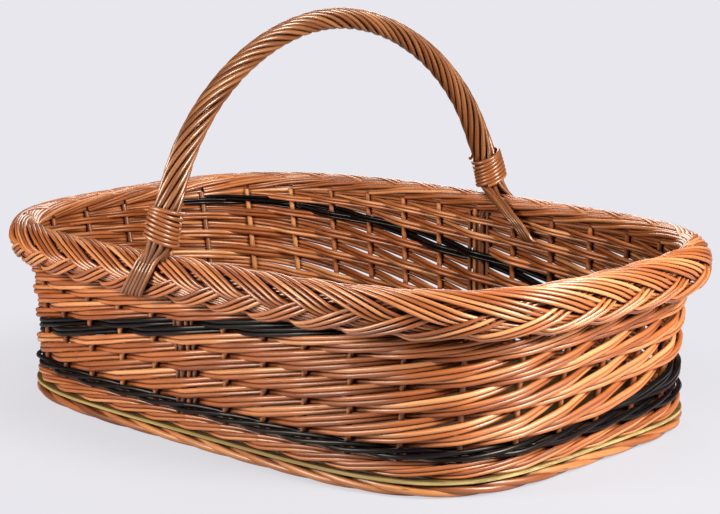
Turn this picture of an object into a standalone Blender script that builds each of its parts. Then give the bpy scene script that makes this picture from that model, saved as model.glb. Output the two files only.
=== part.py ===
"""Willow gathering basket with a fixed roped handle, in metres, +Z up.

The long side lies along X. The origin is at the middle of the basket, on the ground under its foot.
A drilled plywood board carries 36 stakes. Their tails turn under it as the foot border, and their
tops stand under the plaited rim. Pairs of rods climb the wall, one pair from every gap.
"""

import math

import bmesh
import bpy
import numpy as np
from mathutils import Vector

OBJECT_NAME = "willow_gathering_basket"
CLEARANCE = 0.0003
RING_SAMPLES = 14400
UPWARD = Vector((0, 0, 1))
AXES_STEP_SHARE = 0.2

# Base board, on the foot border
BOARD_LENGTH = 0.467
BOARD_WIDTH = 0.299
BOARD_THICK = 0.0026
BOARD_POWER = 4.4
BOARD_EDGE_POINTS = 48
HOLE_INSET = 0.0085
HOLE_SIDES = 6
FOOT_HEIGHT = 0.0089

# Stakes and the ring that they follow under the rim
STAKE_COUNT = 36
STAKE_RADIUS = 0.0018
STAKE_ABOVE_RIM = 0.0031
END_LEAN = 0.0230
SIDE_LEAN = 0.00350
RIM_POWER = 3.5
RIM_ABOVE_SIDING = 0.0052

# Foot border: each stake's tail rolls over its neighbours
TAIL_RADIUS = 0.0021
TAIL_OUT = 0.0032
TAIL_REACH = 0.0041
TAIL_DROP = 0.0021
TAIL_STROKE = 2.3
TAIL_FIRST_ANGLE = math.radians(110)
TAIL_TURN_PER_STAKE = math.radians(100)
TAIL_STEPS = 4
SHOULDER_SHARE = 1.25
STAKE_SIDES = 5
FOOT_FLAT = 0.0005

# Wales: three strands of paired rods that wind round the stakes
UPSETT_ROD = 0.00195
DARK_WALE_ROD = 0.0019
WALE_STRANDS = 3
WALE_LEAN_ROOM = 0.0007
WALE_STEP_SHARE = 1.1
PAIR_FILL_SHARE = 0.9

# Siding: one pair of rods starts in every gap and climbs one level at each stake
LEVEL_RISE = 0.00635
LEVEL_TAPER_SHARE = 0.66
LEVEL_TAPER_STROKES = 17
SIDING_START = 0.0019
STROKE_COUNT = 15
STROKE_PATTERN = 3
PAIR_ROD = 0.0031
CORNER_TURN = math.radians(24)
DARK_PAIR_STARTS = (9, 10, 27, 28)
DARK_THICKNESS_SHARE = 0.92

# Plaited rim: three flat strands draped over the top of the wall
PLAIT_STRANDS = 3
PLAIT_ROD = 0.0029
PLAIT_STRAND_WIDTH = 0.0069
PLAIT_SWING = 0.0160
PLAIT_LIFT = 0.0033
PLAIT_START_DEGREES = 92
PLAIT_BENDS = ((0, 0), (30, -1), (90, 0), (150, 1), (180, 0), (210, -1), (270, 0), (330, 1))
ROLL_OUT = 0.0066
ROLL_HALF_DEPTH = 0.0100
ROLL_HALF_HEIGHT = 0.0110
ROLL_MIDDLE_ANGLE = math.radians(35)

# Handle: a thick bow, wrapped by ten rods
HANDLE_OUT = 0.0138
HANDLE_FOOT_RISE = 0.0148
ARCH_RISE = 0.1450
ARCH_POWER = 1.91
ROPE_ROD_COUNT = 10
ROPE_ROD_RADIUS_TOP = 0.00145
ROPE_ROD_RADIUS_FOOT = 0.00165
ROPE_RADIUS_TOP = 0.0061
ROPE_RADIUS_FOOT = 0.0080
ROPE_TAPER_POWER = 2.5
ROPE_SLOTS_PASSED = 48
ROPE_STEPS_PER_TURN = 6
BOW_TIP_RADIUS = 0.0021
BOW_BESIDE_STAKE = 0.0046
BOW_LEAN_DROP = 0.0023
BOW_ROLL_OUT = 0.0036
BOW_ROLL_RISE = 0.0033
BOW_THROUGH_SHARE = 0.91
BOW_NECK_RADIUS = 0.0027
BOW_STEPS = 22

# Handle bindings and the tucked ends of the rope's rods
BINDING_ROD_RADIUS = 0.00115
BINDING_TURNS = 8
BINDING_PITCH = 0.0031
BINDING_STEPS_PER_TURN = 12
BINDING_START = 0.0075
OUTSIDE_LANE = 0.0057
OUTSIDE_TRAVEL = 0.034
OUTSIDE_ROW = 0.0055
INSIDE_LANE = 0.0055
INSIDE_TRAVEL = 0.047
INSIDE_ROW = 0.0055
OUTSIDE_TUCK = ((0.16, 52), (0.42, 22), (0.66, -8), (0.86, -38), (1.0, -66))
INSIDE_TUCK = ((0.10, 118), (0.36, 152))
INSIDE_KNEE_SHARE = 0.68
SLOT_SIDE_LIMIT = -0.01
LANE_LIFT = 0.0008
INSIDE_END_DROP = 0.0165
INSIDE_KNEE_DROP = 0.0045

# Sizes that follow from the ones above
BOARD_TOP = FOOT_HEIGHT + BOARD_THICK
HOLE_LENGTH = BOARD_LENGTH - 2 * HOLE_INSET
HOLE_WIDTH = BOARD_WIDTH - 2 * HOLE_INSET
RIM_LENGTH = HOLE_LENGTH + 2 * END_LEAN
RIM_WIDTH = HOLE_WIDTH + 2 * SIDE_LEAN
ARCH_HALF_SPAN = RIM_WIDTH / 2 + HANDLE_OUT
PLAIT_HALF_THICK = PLAIT_LIFT + PLAIT_ROD / 2
PLAIT_RADIUS = (ROLL_HALF_DEPTH + ROLL_HALF_HEIGHT) / 2
PAIR_REACH = STAKE_RADIUS + PAIR_ROD / 2 + CLEARANCE
BOW_CLEAR_WIDTH = BOW_BESIDE_STAKE + BOW_TIP_RADIUS


def wale_half_step(rod):
    """Half the height between the two strands in front of a stake."""
    return (rod + CLEARANCE / 2) * WALE_STEP_SHARE


def wale_height(rod):
    return 2 * wale_half_step(rod) + 2 * rod


UPSETT_MIDDLE = BOARD_TOP + WALE_LEAN_ROOM + wale_height(UPSETT_ROD) / 2
DARK_WALE_MIDDLE = UPSETT_MIDDLE + (wale_height(UPSETT_ROD) + wale_height(DARK_WALE_ROD)) / 2 + CLEARANCE
SIDING_FOOT = DARK_WALE_MIDDLE + wale_height(DARK_WALE_ROD) / 2 + SIDING_START


def level_rise(stroke):
    """How far a pair climbs after a stroke: less towards the rods' thin tips."""
    return LEVEL_RISE * (1 - LEVEL_TAPER_SHARE * (stroke / LEVEL_TAPER_STROKES) ** 2)


def level_height(stroke):
    whole = int(math.floor(stroke))
    climbed = sum(level_rise(step) for step in range(whole))
    return SIDING_FOOT + climbed + level_rise(whole) * (stroke - whole)


# The rim sits on the siding, and the handle on the rim
RIM_HEIGHT = level_height(STROKE_COUNT) + RIM_ABOVE_SIDING
STAKE_TOP = RIM_HEIGHT + STAKE_ABOVE_RIM
HANDLE_STAKE_TOP = RIM_HEIGHT - ROLL_HALF_HEIGHT
ARCH_FOOT_HEIGHT = RIM_HEIGHT + HANDLE_FOOT_RISE


def remove_everything():
    for thing in list(bpy.data.objects):
        bpy.data.objects.remove(thing, do_unlink=True)


def new_collection(name):
    collection = bpy.data.collections.new(name)
    bpy.context.scene.collection.children.link(collection)
    return collection


def surface(name, colour, roughness):
    """A Principled material with one colour and no metal."""
    material = bpy.data.materials.new(name)
    material.use_nodes = True
    shader = material.node_tree.nodes["Principled BSDF"]
    shader.inputs["Base Color"].default_value = (*colour, 1)
    shader.inputs["Roughness"].default_value = roughness
    shader.inputs["Metallic"].default_value = 0
    return material


BUFF = (0.52, 0.24, 0.09)
PALE_BUFF = (0.62, 0.34, 0.14)
DARK_ROD = (0.035, 0.022, 0.03)
PLYWOOD = (0.50, 0.40, 0.17)


class Ring:
    """A rounded rectangle seen from above, walked counter-clockwise from the middle of the near side."""

    def __init__(self, length, width, power):
        angle = np.linspace(-math.pi / 2, 1.5 * math.pi, RING_SAMPLES + 1)
        across = np.cos(angle)
        along = np.sin(angle)
        self.x = length / 2 * np.sign(across) * np.abs(across) ** (2 / power)
        self.y = width / 2 * np.sign(along) * np.abs(along) ** (2 / power)
        steps = np.hypot(np.diff(self.x), np.diff(self.y))
        walked = np.concatenate([[0], np.cumsum(steps)])
        self.perimeter = walked[-1]
        self.share = walked / self.perimeter

    def point(self, share, height):
        share = share % 1
        x = np.interp(share, self.share, self.x)
        y = np.interp(share, self.share, self.y)
        return Vector((float(x), float(y), height))


BOARD_RING = Ring(BOARD_LENGTH, BOARD_WIDTH, BOARD_POWER)
HOLE_RING = Ring(HOLE_LENGTH, HOLE_WIDTH, BOARD_POWER)
RIM_RING = Ring(RIM_LENGTH, RIM_WIDTH, RIM_POWER)
STAKE_PITCH = (HOLE_RING.perimeter + RIM_RING.perimeter) / 2 / STAKE_COUNT


def stake_foot(place):
    """Where stake number `place`, or a point between stakes, leaves the board."""
    return HOLE_RING.point(place / STAKE_COUNT, BOARD_TOP)


def stake_head(place):
    return RIM_RING.point(place / STAKE_COUNT, RIM_HEIGHT)


def wall_axes(place):
    """Unit vectors along the wall, up the stakes, and out of the wall at a place."""
    after = place + AXES_STEP_SHARE
    before = place - AXES_STEP_SHARE
    along = stake_head(after) + stake_foot(after) - stake_head(before) - stake_foot(before)
    along = Vector((along.x, along.y, 0)).normalized()
    up = (stake_head(place) - stake_foot(place)).normalized()
    return along, up, along.cross(up).normalized()


def wall_point(place, height, out):
    """A point of the wall: `out` is measured square to the stakes, outwards."""
    foot = stake_foot(place)
    head = stake_head(place)
    climbed = (height - foot.z) / (head.z - foot.z)
    return foot.lerp(head, climbed) + wall_axes(place)[2] * out


def level_out(place):
    """The horizontal direction out of the basket at a place."""
    return wall_axes(place)[0].cross(UPWARD)


def section_curve(name, corners):
    """A closed outline that is swept along a path: x is across the rod and y is up."""
    curve = bpy.data.curves.new(name, "CURVE")
    curve.dimensions = "2D"
    spline = curve.splines.new("POLY")
    spline.points.add(len(corners) - 1)
    for point, corner in zip(spline.points, corners):
        point.co = (*corner, 0, 1)
    spline.use_cyclic_u = True
    guide = bpy.data.objects.new(name, curve)
    guide.hide_render = True
    guide.display_type = "WIRE"
    GUIDES.objects.link(guide)
    return guide


def round_section(name, radius, sides):
    """A regular outline, clockwise so that the faces point out."""
    corners = []
    for side in range(sides):
        turn = -2 * math.pi * side / sides
        corners.append((radius * math.cos(turn), radius * math.sin(turn)))
    return section_curve(name, corners)


def flat_section(name, width, height):
    """Four corners of a flattened pair of rods, clockwise so that the faces point out."""
    x = width / 2
    y = height / 2
    return section_curve(name, [(x, y), (x, -y), (-x, -y), (-x, y)])


def tilt_to(onward, normal):
    """The turn about the path that brings the section's x axis from level to `normal`."""
    side = onward.cross(UPWARD).normalized()
    return math.atan2(normal.dot(onward.cross(side)), normal.dot(side))


def swept(name, points, material, section=None, radius=None, normals=None, sizes=None,
          closed=False, sides_step=0):
    """A rod along a path: an outline kept square to `normals`, or a round rod of `radius`."""
    curve = bpy.data.curves.new(name, "CURVE")
    curve.dimensions = "3D"
    curve.use_fill_caps = True
    curve.twist_mode = "Z_UP" if normals else "MINIMUM"
    if section:
        curve.bevel_mode = "OBJECT"
        curve.bevel_object = section
    else:
        curve.bevel_depth = radius
        curve.bevel_resolution = sides_step
    spline = curve.splines.new("POLY")
    spline.points.add(len(points) - 1)
    last = len(points) - 1
    for index, (knot, place) in enumerate(zip(spline.points, points)):
        knot.co = (*place, 1)
        if normals:
            after = points[(index + 1) % len(points)] if closed else points[min(index + 1, last)]
            before = points[index - 1] if closed else points[max(index - 1, 0)]
            knot.tilt = tilt_to((after - before).normalized(), normals[index])
        if sizes:
            knot.radius = sizes[index]
    spline.use_cyclic_u = closed
    curve.materials.append(material)
    rod = bpy.data.objects.new(name, curve)
    PARTS.objects.link(rod)
    return rod


def as_mesh(thing, collection):
    """The object's evaluated shape as a welded mesh object in place of the curve."""
    graph = bpy.context.evaluated_depsgraph_get()
    mesh = bpy.data.meshes.new_from_object(thing.evaluated_get(graph))
    weld_distance = CLEARANCE / 100
    work = bmesh.new()
    work.from_mesh(mesh)
    bmesh.ops.remove_doubles(work, verts=work.verts, dist=weld_distance)
    work.to_mesh(mesh)
    work.free()
    solid = bpy.data.objects.new(thing.name, mesh)
    solid.matrix_world = thing.matrix_world
    name = thing.name
    bpy.data.objects.remove(thing, do_unlink=True)
    solid.name = name
    collection.objects.link(solid)
    return solid


def build_board():
    """The plywood oval, with a drilled hole for every stake."""
    curve = bpy.data.curves.new("base_board", "CURVE")
    curve.dimensions = "2D"
    curve.fill_mode = "BOTH"
    curve.extrude = BOARD_THICK / 2

    def outline(points):
        spline = curve.splines.new("POLY")
        spline.points.add(len(points) - 1)
        for knot, place in zip(spline.points, points):
            knot.co = (place.x, place.y, 0, 1)
        spline.use_cyclic_u = True

    outline([BOARD_RING.point(step / BOARD_EDGE_POINTS, 0) for step in range(BOARD_EDGE_POINTS)])
    hole_radius = (STAKE_RADIUS + CLEARANCE) / math.cos(math.pi / HOLE_SIDES)
    for stake in range(STAKE_COUNT):
        middle = stake_foot(stake)
        corners = []
        for side in range(HOLE_SIDES):
            turn = 2 * math.pi * side / HOLE_SIDES
            corners.append(middle + Vector((math.cos(turn), math.sin(turn), 0)) * hole_radius)
        outline(corners)
    curve.materials.append(surface("plywood", PLYWOOD, 0.55))
    board = bpy.data.objects.new("base_board", curve)
    board.location.z = FOOT_HEIGHT + BOARD_THICK / 2
    PARTS.objects.link(board)


def tail_points(stake):
    """The stake's tail: over the next two tails and down to the ground, inside to outside and under."""
    middle_height = TAIL_DROP + TAIL_RADIUS - FOOT_FLAT
    points = []
    for step in range(TAIL_STEPS + 1):
        stroke = TAIL_STROKE * step / TAIL_STEPS
        angle = TAIL_FIRST_ANGLE - TAIL_TURN_PER_STAKE * stroke
        place = stake + stroke
        root = stake_foot(place)
        out = level_out(place) * (TAIL_OUT + TAIL_REACH * math.cos(angle))
        points.append(Vector((root.x, root.y, middle_height + TAIL_DROP * math.sin(angle))) + out)
    return points


def build_stakes():
    """All stakes with the foot border of their tails, grown into one frame where the tails bear."""
    willow = surface("stake_willow", BUFF, 0.5)
    section = round_section("stake_section", STAKE_RADIUS, STAKE_SIDES)
    rods = []
    for stake in range(STAKE_COUNT):
        top = HANDLE_STAKE_TOP if stake % (STAKE_COUNT // 2) == 0 else STAKE_TOP
        shoulder = Vector(stake_foot(stake))
        shoulder.z = FOOT_HEIGHT - CLEARANCE - STAKE_RADIUS * SHOULDER_SHARE
        points = [wall_point(stake, top, 0), stake_foot(stake), shoulder] + tail_points(stake)[1:]
        swell = TAIL_RADIUS / STAKE_RADIUS
        sizes = [1, 1, 1] + [swell] * TAIL_STEPS
        rods.append(swept(f"stake_{stake:02d}", points, willow, section=section, sizes=sizes))
    solids = [as_mesh(rod, GUIDES) for rod in rods]
    frame = solids[0]
    GUIDES.objects.unlink(frame)
    PARTS.objects.link(frame)
    frame.name = "stakes_and_foot_border"
    others = bpy.data.collections.new("joined_stakes")
    GUIDES.children.link(others)
    for solid in solids[1:]:
        solid.hide_render = True
        solid.display_type = "WIRE"
        GUIDES.objects.unlink(solid)
        others.objects.link(solid)
    join = frame.modifiers.new("join", "BOOLEAN")
    join.operation = "UNION"
    join.operand_type = "COLLECTION"
    join.collection = others
    cut_flat_underneath(frame)


def cut_flat_underneath(frame):
    """The foot border is worn flat where it stands."""
    bpy.ops.mesh.primitive_cube_add(size=1)
    block = bpy.context.object
    block.name = "ground_cut"
    block.hide_render = True
    block.display_type = "WIRE"
    depth = 2 * TAIL_RADIUS
    block.scale = (BOARD_LENGTH * 2, BOARD_WIDTH * 2, depth)
    block.location = (0, 0, -depth / 2)
    for owner in list(block.users_collection):
        owner.objects.unlink(block)
    GUIDES.objects.link(block)
    cut = frame.modifiers.new("worn_flat", "BOOLEAN")
    cut.operation = "DIFFERENCE"
    cut.object = block


def build_wale(name, rod, middle, material):
    """Three strands round the stakes: each passes in front of two stakes and behind the third."""
    section = flat_section(name + "_section", rod * PAIR_FILL_SHARE, 2 * rod * PAIR_FILL_SHARE)
    reach = STAKE_RADIUS + rod / 2 + CLEARANCE
    half_step = wale_half_step(rod)
    # Out and up at the half-stake steps where a strand bends
    bends = ((0.5, 1, 1), (1.0, -1, 1), (2.0, -1, -1), (2.5, 1, -1))
    for strand in range(WALE_STRANDS):
        points = []
        normals = []
        for pattern in range(STAKE_COUNT // WALE_STRANDS):
            for step, out, up in bends:
                place = pattern * WALE_STRANDS + strand + step - 0.5
                points.append(wall_point(place, middle + up * half_step, out * reach))
                normals.append(wall_axes(place)[2])
        swept(f"{name}_{strand + 1}", points, material, section=section, normals=normals, closed=True)


def stroke_side(stroke):
    """Behind the first stake and every third one after it, in front of the two between."""
    return -1 if stroke % STROKE_PATTERN == 0 else 1


def build_siding():
    """One pair of rods from every gap, each climbing to the right until it reaches the rim."""
    fit = math.cos(math.atan(LEVEL_RISE / STAKE_PITCH))
    section = flat_section("pair_section", PAIR_ROD * PAIR_FILL_SHARE, LEVEL_RISE * fit - CLEARANCE)
    buff = surface("siding_willow", PALE_BUFF, 0.45)
    dark = surface("dark_willow", DARK_ROD, 0.4)
    for start in range(STAKE_COUNT):
        points = []
        normals = []
        sizes = []
        is_dark = start in DARK_PAIR_STARTS
        slim = DARK_THICKNESS_SHARE if is_dark else 1

        def add(stroke, side):
            size = level_rise(stroke) / LEVEL_RISE * slim
            reach = STAKE_RADIUS + CLEARANCE + PAIR_ROD / 2 * size
            place = start + stroke
            if side and is_handle_stake(round(place)):
                reach = max(reach, BOW_TIP_RADIUS + CLEARANCE + PAIR_ROD / 2 * size)
            points.append(wall_point(place, level_height(stroke), side * reach))
            normals.append(wall_axes(place)[2])
            sizes.append(size)

        for stroke in range(STROKE_COUNT + 1):
            side = stroke_side(stroke)
            beside = BOW_CLEAR_WIDTH / STAKE_PITCH
            if is_handle_stake(start + stroke) and stroke > 0:
                add(stroke - beside, side)
                add(stroke + beside / 3, side)
            else:
                add(stroke, side)
            turn = wall_axes(start + stroke)[0].angle(wall_axes(start + stroke + 1)[0])
            crosses = stroke_side(stroke + 1) != side
            if turn > CORNER_TURN and crosses and stroke < STROKE_COUNT:
                add(stroke + 0.5, 0)
        name = f"dark_pair_{start:02d}" if is_dark else f"siding_pair_{start:02d}"
        swept(name, points, dark if is_dark else buff, section=section, normals=normals, sizes=sizes)


def is_handle_stake(place):
    return place % (STAKE_COUNT // 2) == 0


def roll_point(place, angle, lift):
    """A point round the rim's roll, and the direction square to it: 0 is outwards and 90 degrees up."""
    out = level_out(place)
    across = ROLL_HALF_DEPTH * math.cos(angle)
    up = ROLL_HALF_HEIGHT * math.sin(angle)
    square = Vector((math.cos(angle) / ROLL_HALF_DEPTH, math.sin(angle) / ROLL_HALF_HEIGHT)).normalized()
    normal = out * square.x + UPWARD * square.y
    middle = stake_head(place) + out * ROLL_OUT
    return middle + out * across + UPWARD * up + normal * lift, normal


def build_border():
    """A flat three-strand plait, draped over the wall's top and down its outside."""
    section = flat_section("plait_section", PLAIT_ROD, PLAIT_STRAND_WIDTH)
    willow = surface("border_willow", PALE_BUFF, 0.42)
    for strand in range(PLAIT_STRANDS):
        points = []
        normals = []
        for pattern in range(STAKE_COUNT // PLAIT_STRANDS):
            for degrees, lift in PLAIT_BENDS:
                walked = pattern + (degrees - PLAIT_START_DEGREES) / 360
                place = walked * PLAIT_STRANDS - strand
                swing = PLAIT_SWING * math.sin(math.radians(degrees))
                angle = ROLL_MIDDLE_ANGLE + swing / PLAIT_RADIUS
                point, normal = roll_point(place, angle, lift * PLAIT_LIFT)
                points.append(point)
                normals.append(normal)
        swept(f"border_plait_{strand + 1}", points, willow, section=section, normals=normals, closed=True)


class Arch:
    """The handle's centre line, from its near foot at s = 0 to its far foot at s = length."""

    def __init__(self):
        angle = np.linspace(0, math.pi, RING_SAMPLES + 1)
        across = np.cos(angle)
        self.y = -ARCH_HALF_SPAN * np.sign(across) * np.abs(across) ** (2 / ARCH_POWER)
        self.z = ARCH_FOOT_HEIGHT + ARCH_RISE * np.abs(np.sin(angle)) ** (2 / ARCH_POWER)
        steps = np.hypot(np.diff(self.y), np.diff(self.z))
        self.walked = np.concatenate([[0], np.cumsum(steps)])
        self.length = float(self.walked[-1])

    def point(self, s):
        across = float(np.interp(s, self.walked, self.y))
        return Vector((0, across, float(np.interp(s, self.walked, self.z))))

    def axes(self, s):
        step = self.length / 200
        onward = (self.point(min(s + step, self.length)) - self.point(max(s - step, 0))).normalized()
        return onward, Vector((0, -onward.z, onward.y))

    def around(self, s, angle, radius):
        """A point round the centre line: angle 0 is outwards and 90 degrees towards +X."""
        outward = self.axes(s)[1]
        side = Vector((1, 0, 0))
        return self.point(s) + outward * radius * math.cos(angle) + side * radius * math.sin(angle)


ARCH = Arch()


def toward_foot(s):
    """0 at the top of the handle and 1 at either foot."""
    return abs(2 * s / ARCH.length - 1) ** ROPE_TAPER_POWER


def rope_radius(s):
    return ROPE_RADIUS_TOP + (ROPE_RADIUS_FOOT - ROPE_RADIUS_TOP) * toward_foot(s)


def rod_radius(s):
    return ROPE_ROD_RADIUS_TOP + (ROPE_ROD_RADIUS_FOOT - ROPE_ROD_RADIUS_TOP) * toward_foot(s)


def half_turned(point):
    """The same place at the other foot: the basket looks the same after half a turn."""
    return Vector((-point.x, -point.y, point.z))


def foot_frame(tau, out, height):
    """A point by the near foot: tau is towards -X, `out` is from the stakes' line at the rim."""
    place = -tau / STAKE_PITCH
    head = stake_head(place)
    return Vector((head.x, head.y, 0)) + level_out(place) * out + UPWARD * height


def tucked_end(slot_angle):
    """Where a rope rod goes below the near binding, from the binding down to its tucked end."""
    over_plait = PLAIT_HALF_THICK + LANE_LIFT + ROPE_ROD_RADIUS_FOOT
    is_outside = math.cos(slot_angle) > SLOT_SIDE_LIMIT
    if is_outside:
        rank = lane_rank(slot_angle, OUTSIDE_SLOTS)
        first = rank * OUTSIDE_ROW
        last = OUTSIDE_TRAVEL + rank * OUTSIDE_LANE
    else:
        rank = lane_rank(slot_angle, INSIDE_SLOTS)
        first = rank * INSIDE_ROW
        last = INSIDE_TRAVEL + rank * INSIDE_LANE
    points = []
    for share, degrees in OUTSIDE_TUCK if is_outside else INSIDE_TUCK:
        tau = first + (last - first) * share
        points.append(roll_point(-tau / STAKE_PITCH, math.radians(degrees), over_plait)[0])
    if not is_outside:
        inner_face = -(2 * PAIR_REACH - STAKE_RADIUS) - ROPE_ROD_RADIUS_FOOT - CLEARANCE
        knee = first + (last - first) * INSIDE_KNEE_SHARE
        points.append(foot_frame(knee, inner_face, RIM_HEIGHT - INSIDE_KNEE_DROP))
        points.append(foot_frame(last, inner_face, RIM_HEIGHT - INSIDE_END_DROP))
    return points


def lane_rank(slot_angle, slots):
    """The rod's place in its row, counted from the middle, larger towards -X."""
    ordered = sorted(slots, key=lambda angle: -math.sin(angle))
    nearest = min(ordered, key=lambda angle: abs(math.remainder(angle - slot_angle, 2 * math.pi)))
    return ordered.index(nearest) - (len(ordered) - 1) / 2


SLOT_STEP = 2 * math.pi / ROPE_ROD_COUNT
SLOTS = [SLOT_STEP * (slot + 0.5) for slot in range(ROPE_ROD_COUNT)]
OUTSIDE_SLOTS = [angle for angle in SLOTS if math.cos(angle) > SLOT_SIDE_LIMIT]
INSIDE_SLOTS = [angle for angle in SLOTS if math.cos(angle) <= SLOT_SIDE_LIMIT]


def build_rope():
    """Ten rods twisted right-handed round the bow, from one tucked end to the other."""
    willow = surface("handle_willow", BUFF, 0.4)
    first = BINDING_START
    span = ARCH.length - 2 * first
    whole_twist = ROPE_SLOTS_PASSED * SLOT_STEP
    steps = math.ceil(whole_twist / (2 * math.pi) * ROPE_STEPS_PER_TURN)
    for number, slot in enumerate(SLOTS):
        near = tucked_end(slot)
        far = [half_turned(point) for point in tucked_end(-(slot + whole_twist))]
        points = near[::-1]
        sizes = [ROPE_ROD_RADIUS_FOOT / ROPE_ROD_RADIUS_TOP] * len(near)
        for step in range(steps + 1):
            s = first + span * step / steps
            points.append(ARCH.around(s, slot + whole_twist * step / steps, rope_radius(s)))
            sizes.append(rod_radius(s) / ROPE_ROD_RADIUS_TOP)
        points += far
        sizes += [ROPE_ROD_RADIUS_FOOT / ROPE_ROD_RADIUS_TOP] * len(far)
        swept(f"handle_rod_{number + 1:02d}", points, willow, radius=ROPE_ROD_RADIUS_TOP, sizes=sizes)


def bow_radius(s):
    """The bow fills the rope, less the dip of the rods between their bends."""
    dip = math.cos(math.pi / ROPE_STEPS_PER_TURN)
    return rope_radius(s) * dip - rod_radius(s) - CLEARANCE


def bow_foot_points():
    """The near end of the bow, from its tip in the wall up to the rope."""
    out_of_wall = -foot_frame(0, 0, 0).y
    tip = wall_point(-BOW_BESIDE_STAKE / STAKE_PITCH, SIDING_FOOT + CLEARANCE, 0)
    lean = wall_point(-BOW_BESIDE_STAKE / STAKE_PITCH, RIM_HEIGHT - BOW_LEAN_DROP, 0)
    inside_roll = foot_frame(0, BOW_ROLL_OUT, RIM_HEIGHT + BOW_ROLL_RISE)
    through_out = (ARCH_HALF_SPAN - out_of_wall) * BOW_THROUGH_SHARE
    through = foot_frame(0, through_out, RIM_HEIGHT + ROLL_HALF_HEIGHT)
    return [tip, lean, inside_roll, through]


def build_bow():
    willow = surface("bow_willow", BUFF, 0.5)
    foot = bow_foot_points()
    neck = BOW_NECK_RADIUS / BOW_TIP_RADIUS
    points = list(foot)
    sizes = [1, 1, 1, neck]
    first = BINDING_START
    span = ARCH.length - 2 * first
    for step in range(BOW_STEPS + 1):
        s = first + span * step / BOW_STEPS
        points.append(ARCH.point(s))
        sizes.append(bow_radius(s) / BOW_TIP_RADIUS)
    points += [half_turned(point) for point in foot[::-1]]
    sizes += [neck, 1, 1, 1]
    swept("handle_bow", points, willow, radius=BOW_TIP_RADIUS, sizes=sizes, sides_step=1)


def binding_points():
    """The near binding: a helix up the rope, with a straight end of one diameter at each side."""
    spread = math.cos(math.pi / BINDING_STEPS_PER_TURN)
    points = []
    for step in range(BINDING_TURNS * BINDING_STEPS_PER_TURN + 1):
        turns = step / BINDING_STEPS_PER_TURN
        s = BINDING_START + BINDING_ROD_RADIUS + turns * BINDING_PITCH
        radius = rope_radius(s) + rod_radius(s) + CLEARANCE + BINDING_ROD_RADIUS
        points.append(ARCH.around(s, 2 * math.pi * turns, radius / spread))
    straight = 2 * BINDING_ROD_RADIUS
    points.insert(0, points[0] + (points[0] - points[1]).normalized() * straight)
    points.append(points[-1] + (points[-1] - points[-2]).normalized() * straight)
    return points


def least_gap(points, radius):
    """The least space between turns of a wound rod, measured between its points and its later runs."""
    nearest = math.inf
    skip = BINDING_STEPS_PER_TURN // 2
    for index, point in enumerate(points):
        for later in range(index + skip, len(points) - 1):
            start = points[later]
            run = points[later + 1] - start
            share = max(0, min(1, (point - start).dot(run) / run.length_squared))
            nearest = min(nearest, (start + run * share - point).length)
    return nearest - 2 * radius


def build_bindings():
    willow = surface("binding_willow", PALE_BUFF, 0.38)
    near = binding_points()
    print(f"least gap of a binding to itself: {least_gap(near, BINDING_ROD_RADIUS) * 1000:.2f} mm")
    swept("handle_binding_near", near, willow, radius=BINDING_ROD_RADIUS)
    far = [half_turned(point) for point in near]
    swept("handle_binding_far", far, willow, radius=BINDING_ROD_RADIUS)


remove_everything()
PARTS = new_collection(OBJECT_NAME)
GUIDES = new_collection("guides_and_cutters")

build_board()
build_stakes()
build_wale("upsett_wale", UPSETT_ROD, UPSETT_MIDDLE, surface("upsett_willow", PALE_BUFF, 0.5))
build_wale("dark_wale", DARK_WALE_ROD, DARK_WALE_MIDDLE, surface("dark_wale_willow", DARK_ROD, 0.4))
build_siding()
build_border()
build_bow()
build_rope()
build_bindings()
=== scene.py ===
"""The looks of the handled willow basket: every rod of its weave, rim and handle, in metres, +Z up."""

import math

import bpy
import numpy as np
from mathutils import Matrix
from mathutils.bvhtree import BVHTree


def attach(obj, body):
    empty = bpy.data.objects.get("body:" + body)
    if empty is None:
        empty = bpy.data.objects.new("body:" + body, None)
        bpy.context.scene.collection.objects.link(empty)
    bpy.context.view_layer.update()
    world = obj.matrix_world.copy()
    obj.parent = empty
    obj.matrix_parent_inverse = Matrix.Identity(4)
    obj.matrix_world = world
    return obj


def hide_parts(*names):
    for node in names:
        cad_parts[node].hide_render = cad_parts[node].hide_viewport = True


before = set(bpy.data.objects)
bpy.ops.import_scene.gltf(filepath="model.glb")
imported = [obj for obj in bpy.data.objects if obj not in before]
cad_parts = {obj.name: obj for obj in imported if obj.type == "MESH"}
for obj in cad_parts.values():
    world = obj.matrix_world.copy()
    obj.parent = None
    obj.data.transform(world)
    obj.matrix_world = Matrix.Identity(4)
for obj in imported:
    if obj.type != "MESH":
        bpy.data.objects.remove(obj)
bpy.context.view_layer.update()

# Sizes of the solids in metres, and places along the wall in stakes from the middle of the near side
BOARD_LENGTH, BOARD_WIDTH, BOARD_POWER = 0.467, 0.299, 4.4
HOLE_LENGTH, HOLE_WIDTH = 0.450, 0.282
RIM_LENGTH, RIM_WIDTH, RIM_POWER = 0.496, 0.289, 3.5
FOOT_HEIGHT, BOARD_TOP, RIM_HEIGHT = 0.0089, 0.0115, 0.1170
STAKE_COUNT = 36
RING_SAMPLES, DIRECTION_STEP = 14400, 0.2
STAKE_FOOT_RADIUS, STAKE_TOP_RADIUS = 0.0022, 0.0019
STAKE_HEIGHTS = (0.1192, 0.104, 0.088, 0.072, 0.056, 0.040, 0.024, BOARD_TOP)
CLEARANCE = 0.0001

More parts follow.
